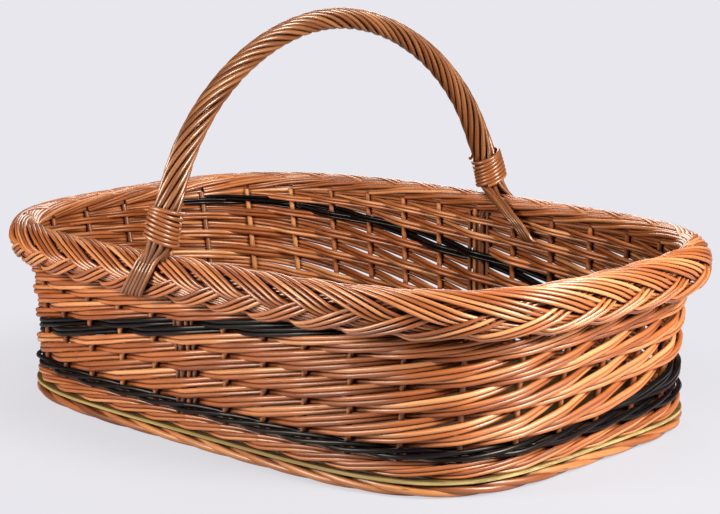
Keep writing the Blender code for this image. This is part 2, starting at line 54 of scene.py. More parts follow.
# Siding
SIDING_FOOT = 0.0312
LEVEL_RISE, LEVEL_TAPER_SHARE, LEVEL_TAPER_STROKES = 0.00635, 0.66, 17
SIDING_STROKES = 15
PAIR_BUTT_RADIUS, PAIR_MIDDLE_RADIUS, PAIR_TIP_RADIUS = 0.00178, 0.00172, 0.00126
PAIR_TAPER = (0, 0.6, 1)
PAIR_FIRST, PAIR_LAST, LOWEST_STROKE = -0.5, SIDING_STROKES + 1.0, -0.2
PAIR_SPREAD, SPREADS = 0.00042, (0, -1, 1)
PAIR_CLOSENESS, MIDWAY_OUT = 0.97, 1.12
DARK_PAIRS = (9, 10, 27, 28)

# Wales: rods in a strand, rod thickness, middle height, half the rise of a stroke, overlap of strokes
UPSETT = (2, 0.00275, 0.0174, 0.0028, 0.05)
DARK_WALE = (1, 0.00340, 0.0274, 0.0020, 0.15)
WALE_OUT = 0.0004

# The wall's bulge over the board
FOOT_BULGE = 0.0030
BULGE_HEIGHTS = (0.0115, 0.0145, 0.0180, 0.0280, 0.0430, 0.0600)
BULGE_SHARES = (0, 0.8, 1, 0.8, 0.3, 0)

# Foot border
TAIL_RADIUS, TAIL_OUT, TAIL_REACH, TAIL_DROP = 0.00250, 0.0036, 0.0046, 0.0019
TAIL_STROKE, TAIL_FIRST_ANGLE, TAIL_TURN = 3.6, 110, 88
TAIL_START, TAIL_POINTS = 0.28, 18
SHOULDER_TURN, SHOULDER_HEIGHTS = 0.09, (0.0076, 0.0056)
FOOT_FILL = ((-0.0005, 0.0062, 0.0026), (0.0022, 0.0038, 0.0026))

# Rim roll and plait, with angles round the roll from outwards over the crest
ROLL_OUT, ROLL_DROP, ROLL_HALF_DEPTH, ROLL_HALF_HEIGHT = 0.0066, 0.0014, 0.0100, 0.0133
ROLL_RADIUS = (ROLL_HALF_DEPTH + ROLL_HALF_HEIGHT) / 2
FAR_RIM_RISE, FAR_RISE_PLACE, FAR_RISE_WIDTH = 0.0026, 20.5, 3.4
PLAIT_GROUPS, PLAIT_LAG = 6, 0.30
PLAIT_MIDDLE = -3
PLAIT_RISE, PLAIT_FALL = 0.0208, 0.0121
UPPER_SHARPNESS, LOWER_SHARPNESS = 0.985, 0.66
PLAIT_ROD_RADIUS, PLAIT_ROD_STEP, PLAIT_LIFT = 0.00136, 0.0027, 0.0016
PLAIT_CROSS_SHIFT, PLAIT_CROSS_SOFTNESS = 2750, 0.35
PLAIT_SHIFT = 0.55
GROUP_PHASES, END_ROD_PHASES = (50.0, 422.0, 6.0), (56.0, 245.0, 6.0)
BUNCHING, SPREADING = (60, 95), (195, 250)
INNER_START, INNER_TRAVEL = 0.40, 4.0
INNER_FIRST_ANGLE, INNER_LAST_ANGLE = 76, 152
INNER_ROD_RADIUS, INNER_ROD_STEP = 0.00138, 0.00230
INNER_LIFT, INNER_FIRST_SINK, INNER_LAST_SINK = 0.0008, 0.0028, 0.0042
INNER_RISEN, INNER_SINKING, INNER_POINTS = 0.14, 0.74, 20
FILL_RODS, FILL_TWIST, FILL_PLACE, FILL_RADIUS = 6, 7.0, 0.0048, 0.0026
TOP_WEAVE = ((0.1144, 0.0032), (0.1171, 0.0032), (0.1198, 0.0032))
TOP_WEAVE_RADIUS = 0.0014

# Handle
ARCH_HALF_SPAN, ARCH_FOOT_HEIGHT, ARCH_RISE, ARCH_POWER = 0.1583, 0.1317, 0.1442, 1.91
TOP_LEAN = -0.0027
ROPE_RODS, ROPE_SLOTS_PASSED, TOP_TWIST = 10, 42, 0.30
ROPE_UNEVEN, ROPE_WAVES, ROPE_WAVE_STEP, ROPE_POINTS = 0.09, 3.3, 0.37, 110
ROPE_RADIUS_TOP, ROPE_RADIUS_FOOT, ROPE_TAPER_POWER = 0.0059, 0.0080, 2.5
HANDLE_ROD_TOP, HANDLE_ROD_FOOT = 0.00165, 0.00195
TUCKED_ROD = HANDLE_ROD_FOOT * 0.80
FOOT_LEAN, FOOT_LEAN_LENGTH = 0.0055, 0.050
HANDLE_START = 0.0075
BINDING_ROD, BINDING_TURNS, BINDING_PITCH, BINDING_TILT = 0.00145, 7.8, 0.00280, 0.0040
BINDING_START, BINDING_LOW_ANGLE, BINDING_POINTS = -2.65, 136, 26
BINDING_CLOSENESS, LOOSE_END_TURN, LOOSE_END_OUT = 0.9, 0.35, 0.0012
BOW_BESIDE_STAKE, BOW_PUSH, BOW_PUSH_WIDTH = 0.0064, 0.0016, 0.22
BOW_HEIGHTS = (0.021, 0.040, 0.060, 0.080, 0.098, 0.110)
BOW_NECK = ((-0.0064, -0.1496, 0.1195), (-0.0060, -0.1548, 0.1270))
BOW_FOOT_RADII, BOW_NECK_RADII, BOW_IN_ROPE = (0.0026, 0.0034), (0.0036, 0.0040), 1.35
BOW_POINTS = 60
BOW_LINERS, LINER_RADII = (-0.0056, 0.0125), (0.0019, 0.0014)
LINER_HEIGHTS = (0.018, 0.040, 0.060, 0.080, 0.098, 0.112, 0.119)

# Rope ends below the bindings: shares of the way with angles round the roll, then middles and steps of rows
OUTSIDE_TUCK = ((0.19, 44), (0.24, 24), (0.36, 4), (0.56, -20), (0.81, -44), (1.00, -62), (1.08, -82))
INSIDE_TUCK = ((0.19, 108), (0.28, 119), (0.47, 138), (0.64, 158), (0.81, 178))
OUTSIDE_FIRST, OUTSIDE_LAST = (0.0100, 0.0032), (0.0392, 0.0038)
INSIDE_FIRST, INSIDE_LAST = (0.0080, 0.0034), (0.0560, 0.0026)
TIP_LIFT, SINKING_SHARE = -0.001, 0.6
KNEE_SHARES, KNEE_HEIGHTS = (0.86, 0.95, 1.00, 1.04), (0.1130, 0.1080, 0.1040, 0.1025)
KNEE_OUTS = (-0.0072, -0.0068, -0.0056, -0.0010)

# Base board
BOARD_POINTS, BOARD_EASE = 240, 0.0004


def unit(vectors):
    return vectors / np.linalg.norm(vectors, axis=-1, keepdims=True)


def smooth_step(value, low, high):
    share = np.clip((value - low) / (high - low), 0, 1)
    return share * share * (3 - 2 * share)


class Ring:
    """A rounded rectangle seen from above, walked counter-clockwise from the middle of the near side."""

    def __init__(self, length, width, power):
        angle = np.linspace(-math.pi / 2, 1.5 * math.pi, RING_SAMPLES + 1)
        self.x = length / 2 * np.sign(np.cos(angle)) * np.abs(np.cos(angle)) ** (2 / power)
        self.y = width / 2 * np.sign(np.sin(angle)) * np.abs(np.sin(angle)) ** (2 / power)
        walked = np.concatenate([[0], np.cumsum(np.hypot(np.diff(self.x), np.diff(self.y)))])
        self.perimeter = float(walked[-1])
        self.share = walked / self.perimeter

    def at(self, place, height):
        """Points at stake numbers `place`, which may lie between stakes."""
        share = np.asarray(place, float) / STAKE_COUNT % 1
        x = np.interp(share, self.share, self.x)
        y = np.interp(share, self.share, self.y)
        return np.stack([x, y, np.full_like(x, 1) * height], axis=-1)


HOLE_RING = Ring(HOLE_LENGTH, HOLE_WIDTH, BOARD_POWER)
RIM_RING = Ring(RIM_LENGTH, RIM_WIDTH, RIM_POWER)
BOARD_RING = Ring(BOARD_LENGTH, BOARD_WIDTH, BOARD_POWER)
STAKE_PITCH = (HOLE_RING.perimeter + RIM_RING.perimeter) / 2 / STAKE_COUNT


def wall_axes(place):
    """Unit vectors along the wall, up the stakes and out of the wall."""
    place = np.asarray(place, float)
    along = np.zeros(place.shape + (3,))
    for ring in (HOLE_RING, RIM_RING):
        along += ring.at(place + DIRECTION_STEP, 0) - ring.at(place - DIRECTION_STEP, 0)
    along = unit(along)
    up = unit(RIM_RING.at(place, RIM_HEIGHT) - HOLE_RING.at(place, BOARD_TOP))
    return along, up, unit(np.cross(along, up))


def far_rise(place):
    """How much higher the rim stands towards the far side."""
    return FAR_RIM_RISE * np.exp(-((place % STAKE_COUNT - FAR_RISE_PLACE) / FAR_RISE_WIDTH) ** 2)


def wall_point(place, height, out):
    """A point of the leaning wall, that far out of the stakes' middle."""
    place, height, out = np.broadcast_arrays(*map(lambda v: np.asarray(v, float), (place, height, out)))
    foot = HOLE_RING.at(place, BOARD_TOP)
    head = RIM_RING.at(place, RIM_HEIGHT)
    climbed = ((height - BOARD_TOP) / (RIM_HEIGHT - BOARD_TOP))[..., None]
    bulge = FOOT_BULGE * np.interp(height, BULGE_HEIGHTS, BULGE_SHARES)
    point = foot + (head - foot) * climbed + wall_axes(place)[2] * (out + bulge)[..., None]
    point[..., 2] += far_rise(place) * climbed[..., 0]
    return point


def level_out(place):
    """The horizontal direction out of the basket."""
    along = wall_axes(place)[0]
    return np.cross(along, np.array([0.0, 0.0, 1.0]))


def roll_point(place, degrees, lift):
    """A point round the rim's roll: 0 degrees is outwards, 90 is the crest and 180 is inwards."""
    place, degrees, lift = np.broadcast_arrays(*map(lambda v: np.asarray(v, float), (place, degrees, lift)))
    angle = np.radians(degrees)
    out = level_out(place)
    square = unit(np.stack([np.cos(angle) / ROLL_HALF_DEPTH, np.sin(angle) / ROLL_HALF_HEIGHT], axis=-1))
    across = ROLL_OUT + ROLL_HALF_DEPTH * np.cos(angle) + lift * square[..., 0]
    up = ROLL_HALF_HEIGHT * np.sin(angle) + lift * square[..., 1]
    point = RIM_RING.at(place, RIM_HEIGHT) + out * across[..., None]
    point[..., 2] += up - ROLL_DROP + far_rise(place)
    return point


def math_maker(tree):
    """A function that adds math nodes to the tree, from numbers or sockets."""
    def math_node(operation, first, second):
        made = tree.nodes.new("ShaderNodeMath")
        made.operation = operation
        for socket, value in zip(made.inputs, (first, second)):
            if isinstance(value, (int, float)):
                socket.default_value = value
            else:
                tree.links.new(value, socket)
        return made.outputs[0]
    return math_node


# The tree that grows rods
CURVE_STEPS, NOISE_DETAIL = 10, 1.0
OWN_NOISE_STEP, WANDER_REACH, SWELL_SCALE = 90.0, 4.0, 45.0
TREE_INPUTS = (
    ("Rod Sides", "NodeSocketInt", 10),
    ("Ring Spacing", "NodeSocketFloat", 0.003),
    ("Wander", "NodeSocketFloat", 0.0003),
    ("Wander Scale", "NodeSocketFloat", 22.0),
    ("Thickness Change", "NodeSocketFloat", 0.06),
    ("Seed", "NodeSocketInt", 1),
    ("Willow", "NodeSocketMaterial", None),
)


def rods_tree():
    """Round rods along the curves that come in, each with its own bends, thickness and tint."""
    tree = bpy.data.node_groups.new("willow_rods", "GeometryNodeTree")
    tree.interface.new_socket("Geometry", in_out="INPUT", socket_type="NodeSocketGeometry")
    for name, kind, value in TREE_INPUTS:
        socket = tree.interface.new_socket(name, in_out="INPUT", socket_type=kind)
        if value is not None:
            socket.default_value = value
    tree.interface.new_socket("Geometry", in_out="OUTPUT", socket_type="NodeSocketGeometry")
    nodes, links = tree.nodes, tree.links

    def node(kind, **settings):
        made = nodes.new(kind)
        for key, value in settings.items():
            setattr(made, key, value)
        return made

    join = links.new
    math_node = math_maker(tree)
    entry = node("NodeGroupInput")
    leave = node("NodeGroupOutput")

    smooth = node("GeometryNodeCurveSplineType", spline_type="CATMULL_ROM")
    join(entry.outputs["Geometry"], smooth.inputs["Curve"])
    fine = node("GeometryNodeSetSplineResolution")
    fine.inputs["Resolution"].default_value = CURVE_STEPS
    join(smooth.outputs[0], fine.inputs["Geometry"])
    even = node("GeometryNodeResampleCurve", mode="LENGTH")
    join(fine.outputs[0], even.inputs["Curve"])
    join(entry.outputs["Ring Spacing"], even.inputs["Length"])

    index = node("GeometryNodeInputIndex")
    chance = node("FunctionNodeRandomValue", data_type="FLOAT")
    join(index.outputs[0], chance.inputs["ID"])
    join(entry.outputs["Seed"], chance.inputs["Seed"])
    tint = node("GeometryNodeStoreNamedAttribute", data_type="FLOAT", domain="CURVE")
    tint.inputs["Name"].default_value = "rod_tint"
    join(even.outputs[0], tint.inputs["Geometry"])
    join(chance.outputs[1], tint.inputs["Value"])

    walked = node("GeometryNodeSplineParameter")
    along = node("GeometryNodeStoreNamedAttribute", data_type="FLOAT", domain="POINT")
    along.inputs["Name"].default_value = "rod_along"
    join(tint.outputs[0], along.inputs["Geometry"])
    join(walked.outputs["Length"], along.inputs["Value"])

    own_tint = node("GeometryNodeInputNamedAttribute", data_type="FLOAT")
    own_tint.inputs["Name"].default_value = "rod_tint"
    own_number = math_node("MULTIPLY", own_tint.outputs[0], OWN_NOISE_STEP)
    bends = node("ShaderNodeTexNoise", noise_dimensions="4D")
    bends.inputs["Detail"].default_value = NOISE_DETAIL
    place = node("GeometryNodeInputPosition")
    join(place.outputs[0], bends.inputs["Vector"])
    join(own_number, bends.inputs["W"])
    join(entry.outputs["Wander Scale"], bends.inputs["Scale"])
    centred = node("ShaderNodeVectorMath", operation="SUBTRACT")
    centred.inputs[1].default_value = (0.5, 0.5, 0.5)
    join(bends.outputs["Color"], centred.inputs[0])
    offset = node("ShaderNodeVectorMath", operation="SCALE")
    join(centred.outputs[0], offset.inputs[0])
    join(math_node("MULTIPLY", entry.outputs["Wander"], WANDER_REACH), offset.inputs["Scale"])
    moved = node("GeometryNodeSetPosition")
    join(along.outputs[0], moved.inputs["Geometry"])
    join(offset.outputs[0], moved.inputs["Offset"])

    swell = node("ShaderNodeTexNoise", noise_dimensions="4D")
    swell.inputs["Scale"].default_value = SWELL_SCALE
    swell.inputs["Detail"].default_value = NOISE_DETAIL
    join(place.outputs[0], swell.inputs["Vector"])
    join(own_number, swell.inputs["W"])
    change = math_node("MULTIPLY", math_node("SUBTRACT", swell.outputs["Fac"], 0.5), 2.0)
    change = math_node("MULTIPLY", change, entry.outputs["Thickness Change"])
    radius = node("GeometryNodeInputRadius")
    thickness = math_node("MULTIPLY", radius.outputs[0], math_node("ADD", change, 1.0))

    circle = node("GeometryNodeCurvePrimitiveCircle")
    circle.inputs["Radius"].default_value = 1.0
    join(entry.outputs["Rod Sides"], circle.inputs["Resolution"])
    around = node("GeometryNodeStoreNamedAttribute", data_type="FLOAT_VECTOR", domain="POINT")
    around.inputs["Name"].default_value = "rod_around"
    join(circle.outputs["Curve"], around.inputs["Geometry"])
    join(place.outputs[0], around.inputs["Value"])
    skin = node("GeometryNodeCurveToMesh")
    skin.inputs["Fill Caps"].default_value = True
    join(moved.outputs[0], skin.inputs["Curve"])
    join(around.outputs[0], skin.inputs["Profile Curve"])
    join(thickness, skin.inputs["Scale"])

    read_along = node("GeometryNodeInputNamedAttribute", data_type="FLOAT")
    read_along.inputs["Name"].default_value = "rod_along"
    read_around = node("GeometryNodeInputNamedAttribute", data_type="FLOAT_VECTOR")
    read_around.inputs["Name"].default_value = "rod_around"
    parts = node("ShaderNodeSeparateXYZ")
    join(read_around.outputs[0], parts.inputs[0])
    packed = node("ShaderNodeCombineXYZ")
    join(read_along.outputs[0], packed.inputs["X"])
    join(parts.outputs["X"], packed.inputs["Y"])
    join(parts.outputs["Y"], packed.inputs["Z"])
    grain = node("GeometryNodeStoreNamedAttribute", data_type="FLOAT_VECTOR", domain="POINT")
    grain.inputs["Name"].default_value = "rod_place"
    join(skin.outputs[0], grain.inputs["Geometry"])
    join(packed.outputs[0], grain.inputs["Value"])
    shade = node("GeometryNodeSetShadeSmooth")
    join(grain.outputs[0], shade.inputs["Geometry"])
    whole = node("GeometryNodeRealizeInstances")
    join(shade.outputs[0], whole.inputs["Geometry"])
    finish = node("GeometryNodeSetMaterial")
    join(whole.outputs[0], finish.inputs["Geometry"])
    join(entry.outputs["Willow"], finish.inputs["Material"])
    join(finish.outputs[0], leave.inputs[0])
    return tree


RODS_TREE = rods_tree()


def grow(name, rods, willow, nodes, seed, wander, spacing=0.003, sides=10):
    """One piece from (points, radii) rods, in place of the CAD nodes named."""
    curve = bpy.data.curves.new(name + "_paths", "CURVE")
    curve.dimensions = "3D"
    for points, radii in rods:
        spline = curve.splines.new("POLY")
        spline.points.add(len(points) - 1)
        flat = np.concatenate([points, np.ones((len(points), 1))], axis=1)
        spline.points.foreach_set("co", flat.ravel())
        spline.points.foreach_set("radius", np.broadcast_to(radii, len(points)).astype(np.float32))
    carrier = bpy.data.objects.new(name + "_paths", curve)
    bpy.context.scene.collection.objects.link(carrier)
    modifier = carrier.modifiers.new("rods", "NODES")
    modifier.node_group = RODS_TREE
    values = {"Seed": seed, "Willow": willow, "Wander": wander, "Ring Spacing": spacing, "Rod Sides": sides}
    for item in RODS_TREE.interface.items_tree:
        if item.in_out == "INPUT" and item.name in values:
            modifier[item.identifier] = values[item.name]
    graph = bpy.context.evaluated_depsgraph_get()
    mesh = bpy.data.meshes.new_from_object(carrier.evaluated_get(graph))
    bpy.data.objects.remove(carrier, do_unlink=True)
    corners = np.empty(len(mesh.polygons), dtype=np.int32)
    mesh.polygons.foreach_get("loop_total", corners)
    mesh.polygons.foreach_set("use_smooth", corners <= 4)
    for extra in ("rod_along", "rod_around"):
        if extra in mesh.attributes:
            mesh.attributes.remove(mesh.attributes[extra])
    mesh.name = name
    piece = bpy.data.objects.new(name, mesh)
    bpy.context.scene.collection.objects.link(piece)
    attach(piece, "root")
    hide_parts(*nodes)
    return piece


PROBES = (0.0009, 0.0030)


def mark_painted_crevice_shade(rods, others):
    """Store a mask on each rod piece: 0 on open wood and 1 deep between rods, where the base colour is
    darkened as painted shade.
    """
    corners, triangles, start = [], [], 0
    for piece in rods + others:
        mesh = piece.data
        mesh.calc_loop_triangles()
        place = np.empty(len(mesh.vertices) * 3, dtype=np.float32)
        mesh.vertices.foreach_get("co", place)
        index = np.empty(len(mesh.loop_triangles) * 3, dtype=np.int32)
        mesh.loop_triangles.foreach_get("vertices", index)
        corners.append(place.reshape(-1, 3))
        triangles.append(index.reshape(-1, 3) + start)
        start += len(mesh.vertices)
    corner_list, triangle_list = np.concatenate(corners).tolist(), np.concatenate(triangles).tolist()
    surface = BVHTree.FromPolygons(corner_list, triangle_list, all_triangles=True)
    for piece, place in zip(rods, corners):
        normals = np.empty(place.size, dtype=np.float32)
        piece.data.vertex_normals.foreach_get("vector", normals)
        openness = np.ones(len(place))
        for reach in PROBES:
            probes = (place + normals.reshape(-1, 3) * reach).tolist()
            gaps = [surface.find_nearest(probe, reach)[3] for probe in probes]
            openness *= np.array([reach if gap is None else gap for gap in gaps]) / reach
        kept = piece.data.attributes.new("rod_painted_shade", "FLOAT", "POINT")
        kept.data.foreach_set("value", (1 - openness).astype(np.float32))


# Finishes
COAT_TINT, SPECULAR_TINT = (1.0, 0.95, 0.88, 1), (1.0, 0.87, 0.72, 1)
FIBRE_STRETCH, PATCH_STRETCH, BUD_STRETCH = (55.0, 2.6, 2.6), (14.0, 0.5, 0.5), (26.0, 0.42, 0.42)
FIBRE_SHARE, PATCH_SHARE, ROD_SHARE = 0.40, 0.55, 0.42
TONE_STOPS = (0.22, 0.50, 0.80)
SCAR_RADII, SCAR_STRENGTH, SCAR_STAIN = (0.03, 0.10), 0.75, (0.35, 0.30, 0.30)
# Painted shade: the base colour darkens towards a share of the deep tone between rods and in recesses, where
# shade falls.
PAINTED_SHADE_START, PAINTED_SHADE_STRENGTH, PAINTED_SHADE_TINT = 0.30, 0.80, (0.40, 0.30, 0.24)
FIBRE_ROUGHNESS, FIBRE_HEIGHT, SCAR_HEIGHT = 0.22, 0.7, 0.5
STREAK_STEP, BUD_STEPS = 70.0, (37.0, 11.0)


def new_material(name):
    material = bpy.data.materials.new(name)
    material.use_nodes = True
    nodes, links = material.node_tree.nodes, material.node_tree.links
    return material, nodes, links, nodes["Principled BSDF"]


def bumped(nodes, links, height, strength, distance):
    """Join a height to the material's normal as a small bump."""
    bump = nodes.new("ShaderNodeBump")
    bump.inputs["Strength"].default_value = strength
    bump.inputs["Distance"].default_value = distance
    links.new(height, bump.inputs["Height"])
    links.new(bump.outputs["Normal"], nodes["Principled BSDF"].inputs["Normal"])


def peeled_willow(name, tones, roughness, specular, coat, coat_roughness):
    """Boiled and peeled willow: streaks along the rod, a tint for each rod, bud scars, painted shade between
    rods and a soft gloss.
    """
    deep, middle, pale = tones
    material, nodes, links, shader = new_material(name)
    math_node = math_maker(material.node_tree)
    shader.inputs["Coat Weight"].default_value = coat
    shader.inputs["Coat Roughness"].default_value = coat_roughness
    shader.inputs["Coat Tint"].default_value = COAT_TINT
    shader.inputs["Specular IOR Level"].default_value = specular
    shader.inputs["Specular Tint"].default_value = SPECULAR_TINT
    place = nodes.new("ShaderNodeAttribute")
    place.attribute_name = "rod_place"
    tint = nodes.new("ShaderNodeAttribute")
    tint.attribute_name = "rod_tint"

    def streaks(stretch, detail):
        mapping = nodes.new("ShaderNodeMapping")
        mapping.inputs["Scale"].default_value = stretch
        links.new(place.outputs["Vector"], mapping.inputs["Vector"])
        noise = nodes.new("ShaderNodeTexNoise")
        noise.noise_dimensions = "4D"
        noise.inputs["Scale"].default_value = 1.0
        noise.inputs["Detail"].default_value = detail
        links.new(mapping.outputs[0], noise.inputs["Vector"])
        links.new(math_node("MULTIPLY", tint.outputs["Fac"], STREAK_STEP), noise.inputs["W"])
        return noise.outputs["Fac"]

    fibres = streaks(FIBRE_STRETCH, 3.0)
    patches = streaks(PATCH_STRETCH, 2.0)
    own_share = math_node("MULTIPLY", math_node("SUBTRACT", tint.outputs["Fac"], 0.5), ROD_SHARE)
    fibre_share = math_node("MULTIPLY", fibres, FIBRE_SHARE)
    tone = math_node("ADD", fibre_share, math_node("MULTIPLY", patches, PATCH_SHARE))
    tone = math_node("ADD", tone, own_share)
    ramp = nodes.new("ShaderNodeValToRGB")
    ramp.color_ramp.elements[0].position = TONE_STOPS[0]
    ramp.color_ramp.elements[0].color = (*deep, 1)
    ramp.color_ramp.elements[1].position = TONE_STOPS[2]
    ramp.color_ramp.elements[1].color = (*pale, 1)
    centre = ramp.color_ramp.elements.new(TONE_STOPS[1])
    centre.color = (*middle, 1)
    links.new(tone, ramp.inputs["Fac"])

    buds = nodes.new("ShaderNodeTexVoronoi")
    buds.inputs["Scale"].default_value = 1.0
    bud_map = nodes.new("ShaderNodeMapping")
    bud_map.inputs["Scale"].default_value = BUD_STRETCH
    links.new(place.outputs["Vector"], bud_map.inputs["Vector"])
    shifted = nodes.new("ShaderNodeVectorMath")
    shifted.operation = "ADD"
    spread = nodes.new("ShaderNodeCombineXYZ")
    for step, axis in zip(BUD_STEPS, "XY"):
        links.new(math_node("MULTIPLY", tint.outputs["Fac"], step), spread.inputs[axis])
    links.new(bud_map.outputs[0], shifted.inputs[0])
    links.new(spread.outputs[0], shifted.inputs[1])
    links.new(shifted.outputs[0], buds.inputs["Vector"])
    scar = nodes.new("ShaderNodeMapRange")
    scar.inputs["From Min"].default_value = SCAR_RADII[1]
    scar.inputs["From Max"].default_value = SCAR_RADII[0]
    links.new(buds.outputs["Distance"], scar.inputs["Value"])
    stained = nodes.new("ShaderNodeMix")
    stained.data_type = "RGBA"
    stained.inputs["B"].default_value = (*(part * share for part, share in zip(deep, SCAR_STAIN)), 1)
    links.new(math_node("MULTIPLY", scar.outputs["Result"], SCAR_STRENGTH), stained.inputs["Factor"])
    links.new(ramp.outputs["Color"], stained.inputs["A"])
    # Painted shade: the base colour turns darker deep between rods and in recesses, where shade falls.
    crevice_shade_attribute = nodes.new("ShaderNodeAttribute")
    crevice_shade_attribute.attribute_name = "rod_painted_shade"
    painted_shade_share = nodes.new("ShaderNodeMapRange")
    painted_shade_share.inputs["From Min"].default_value = PAINTED_SHADE_START
    painted_shade_share.inputs["To Max"].default_value = PAINTED_SHADE_STRENGTH
    links.new(crevice_shade_attribute.outputs["Fac"], painted_shade_share.inputs["Value"])
    shaded = nodes.new("ShaderNodeMix")
    shaded.data_type = "RGBA"
    shaded.inputs["B"].default_value = (*(part * share for part, share in zip(deep, PAINTED_SHADE_TINT)), 1)
    links.new(painted_shade_share.outputs["Result"], shaded.inputs["Factor"])
    links.new(stained.outputs["Result"], shaded.inputs["A"])
    links.new(shaded.outputs["Result"], shader.inputs["Base Color"])
    smoothest = roughness - FIBRE_ROUGHNESS / 2
    rough = math_node("ADD", math_node("MULTIPLY", fibres, FIBRE_ROUGHNESS), smoothest)
    links.new(rough, shader.inputs["Roughness"])

    fibre_height = math_node("MULTIPLY", fibres, FIBRE_HEIGHT)
    scar_height = math_node("MULTIPLY", scar.outputs["Result"], SCAR_HEIGHT)
    bumped(nodes, links, math_node("ADD", fibre_height, scar_height), strength=0.45, distance=0.0004)
    return material


PLY_STRETCH = (6.0, 90.0, 700.0)
PLY_DARK, PLY_PALE, FACE_STAIN = (0.24, 0.165, 0.055, 1), (0.54, 0.42, 0.17, 1), (0.26, 0.19, 0.12, 1)


def plywood():
    """Birch plywood: an olive edge with thin plies, and faces with a dark stain over long grain."""
    material, nodes, links, shader = new_material("olive_plywood")
    shader.inputs["Roughness"].default_value = 0.65
    shader.inputs["Specular IOR Level"].default_value = 0.22
    coords = nodes.new("ShaderNodeTexCoord")
    mapping = nodes.new("ShaderNodeMapping")
    mapping.inputs["Scale"].default_value = PLY_STRETCH
    links.new(coords.outputs["Object"], mapping.inputs["Vector"])
    grain = nodes.new("ShaderNodeTexNoise")
    grain.inputs["Scale"].default_value = 1.0
    grain.inputs["Detail"].default_value = 6.0
    grain.inputs["Distortion"].default_value = 0.6
    links.new(mapping.outputs[0], grain.inputs["Vector"])
    ramp = nodes.new("ShaderNodeValToRGB")
    ramp.color_ramp.elements[0].position = 0.3
    ramp.color_ramp.elements[0].color = PLY_DARK
    ramp.color_ramp.elements[1].position = 0.72
    ramp.color_ramp.elements[1].color = PLY_PALE
    links.new(grain.outputs["Fac"], ramp.inputs["Fac"])
    facing = nodes.new("ShaderNodeSeparateXYZ")
    links.new(coords.outputs["Normal"], facing.inputs[0])
    flat = nodes.new("ShaderNodeMath")
    flat.operation = "ABSOLUTE"
    links.new(facing.outputs["Z"], flat.inputs[0])
    stain = nodes.new("ShaderNodeMix")
    stain.data_type = "RGBA"
    stain.blend_type = "MULTIPLY"
    stain.inputs["B"].default_value = FACE_STAIN
    links.new(flat.outputs[0], stain.inputs["Factor"])
    links.new(ramp.outputs["Color"], stain.inputs["A"])
    links.new(stain.outputs["Result"], shader.inputs["Base Color"])
    bumped(nodes, links, grain.outputs["Fac"], strength=0.3, distance=0.0003)
    return material


# The tones of each willow from deep to pale, then each finish: roughness, specular, coat, coat roughness
BUFF = ((0.20, 0.043, 0.008), (0.42, 0.123, 0.032), (0.68, 0.320, 0.130))
# Painted shade: a darker copy of the buff for the stakes and foot border, which lie recessed between the
# pairs and under the board.
SHADED_STAKE_BUFF = ((0.14, 0.032, 0.008), (0.32, 0.092, 0.024), (0.58, 0.245, 0.080))
HANDLE_BUFF = ((0.088, 0.024, 0.007), (0.182, 0.059, 0.018), (0.385, 0.162, 0.060))
BINDING_BUFF = ((0.15, 0.040, 0.010), (0.32, 0.103, 0.030), (0.58, 0.260, 0.095))
BLACK = ((0.0008, 0.0005, 0.0010), (0.0015, 0.0010, 0.0018), (0.008, 0.004, 0.006))
WEAVE_FINISH = peeled_willow("buff_weave_willow", BUFF, 0.40, 0.75, 0.18, 0.25)
SHADED_STAKE_FINISH = peeled_willow("buff_stake_willow_painted_shade", SHADED_STAKE_BUFF, 0.42, 0.70, 0.20, 0.28)
RIM_FINISH = peeled_willow("buff_rim_willow", BUFF, 0.38, 0.90, 0.30, 0.24)
HANDLE_FINISH = peeled_willow("buff_handle_willow", HANDLE_BUFF, 0.36, 0.80, 0.30, 0.22)
BINDING_FINISH = peeled_willow("buff_binding_willow", BINDING_BUFF, 0.36, 0.80, 0.30, 0.22)
DARK_FINISH = peeled_willow("black_willow", BLACK, 0.36, 0.25, 0.05, 0.12)
BOARD_FINISH = plywood()


# Stakes and foot border
def stake_rod(stake):
    """From the tail that lies under the board, through its hole and up into the rim."""
    heights = np.array(STAKE_HEIGHTS)
    wall = wall_point(np.full(len(heights), float(stake)), heights, 0.0)
    shoulder = HOLE_RING.at(np.array([stake, stake + SHOULDER_TURN]), 0)
    shoulder[:, 2] = SHOULDER_HEIGHTS
    steps = np.linspace(TAIL_START, TAIL_STROKE, TAIL_POINTS)
    angle = np.radians(TAIL_FIRST_ANGLE - TAIL_TURN * steps)
    out = TAIL_OUT + TAIL_REACH * np.cos(angle)
    tail = HOLE_RING.at(stake + steps, 0) + level_out(stake + steps) * out[:, None]
    tail[:, 2] = TAIL_DROP + TAIL_RADIUS + CLEARANCE + TAIL_DROP * np.sin(angle)
    points = np.concatenate([wall, shoulder, tail])
    radii = np.concatenate([np.linspace(STAKE_TOP_RADIUS, STAKE_FOOT_RADIUS, len(wall) + 2),
                            np.full(len(tail), TAIL_RADIUS)])
    return points, radii


def ring_rod(point_at, radius):
    """A closed filling rod, where the ends of other rods pack a border's inside."""
    places = np.linspace(0, STAKE_COUNT, STAKE_COUNT * 2 + 1)
    return point_at(places), np.full(len(places), radius)


def foot_filling():
    rods = []
    for out, height, radius in FOOT_FILL:
        rods.append(ring_rod(lambda places: HOLE_RING.at(places, height) + level_out(places) * out, radius))
    return rods


